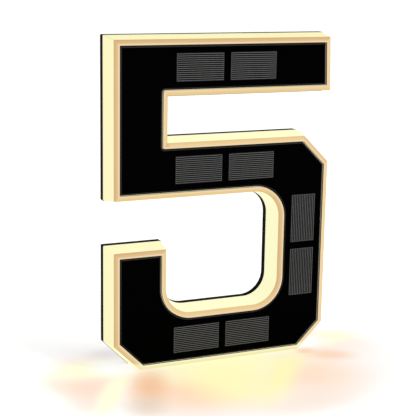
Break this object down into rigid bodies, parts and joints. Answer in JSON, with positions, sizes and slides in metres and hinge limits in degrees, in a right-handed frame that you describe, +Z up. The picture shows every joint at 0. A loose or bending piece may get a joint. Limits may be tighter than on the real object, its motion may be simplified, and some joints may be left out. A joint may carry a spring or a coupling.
{
  "type": "illuminated house number sign",
  "caption": "Illuminated house number sign: an opal light box shaped as a digit, with a gloss black front, solar cells and a black back plate.",
  "frame": {"origin": "bottom centre of the whole sign's box: the middle of its width and depth, on the flat base it stands on", "axes": "+X to the reader's right, +Y from the front panel to the back plate, +Z up"},
  "size_m": [0.1459, 0.0198, 0.2015],
  "materials": {
    "battery_foil": "laminated foil",
    "black_plastic": "fine moulded texture",
    "bond_tape": "soft foam",
    "button_plastic": "satin",
    "capacitor_tan": "plain",
    "chip_black": "moulded",
    "choke_dark": "ferrite",
    "connector_white": "nylon",
    "copper_tab": "tinned copper",
    "flex_film": "amber film",
    "gloss_black_panel": "high gloss",
    "green_board": "green solder mask",
    "lamp_phosphor": "warm phosphor",
    "opal_plastic": "satin, translucent, lit from inside",
    "pin_metal": "plated",
    "reflector_film": "white film",
    "seal_rubber": "matte silicone",
    "solar_cell": "satin laminate with fine silver grid lines",
    "steel_screw": "plain zinc-plated",
    "white_board": "white solder mask",
    "wire_black": "PVC",
    "wire_red": "PVC"
  },
  "bodies": {
    "housing": {"back_plate": "black_plastic", "back_screws": "steel_screw", "battery_cell": "battery_foil", "battery_guard_board": "green_board", "battery_leads": "wire_red", "battery_tape": "bond_tape", "board_capacitors": "capacitor_tan", "board_spacers": "connector_white", "button_seal": "seal_rubber", "cell_tabs": "copper_tab", "charge_chip": "chip_black", "choke_coil": "choke_dark", "control_board": "green_board", "control_board_screws": "steel_screw", "diffuser_body": "opal_plastic", "flex_circuit": "flex_film", "front_panel": "gloss_black_panel", "lead_plugs": "connector_white", "lead_sockets": "connector_white", "led_board": "white_board", "led_board_screws": "steel_screw", "led_chips": "lamp_phosphor", "led_resistors": "chip_black", "panel_tape": "bond_tape", "perimeter_gasket": "seal_rubber", "pin_header_block": "chip_black", "pin_header_pins": "pin_metal", "push_switch": "chip_black", "reflector_sheet": "reflector_film", "solar_cell_bottom_left": "solar_cell", "solar_cell_bottom_right": "solar_cell", "solar_cell_middle_left": "solar_cell", "solar_cell_middle_right": "solar_cell", "solar_cell_side_lower": "solar_cell", "solar_cell_side_upper": "solar_cell", "solar_cell_top_left": "solar_cell", "solar_cell_top_right": "solar_cell", "solar_leads": "wire_black"},
    "button": {"power_button": "button_plastic", "switch_plunger": "button_plastic"}
  },
  "joints": [
    {"name": "power_button_press", "type": "slide", "parent": "housing", "child": "button", "axis": [0, -1, 0], "range_m": [0, 0.0012], "stiffness_N_per_m": 900, "springref_m": -0.0006}
  ]
}
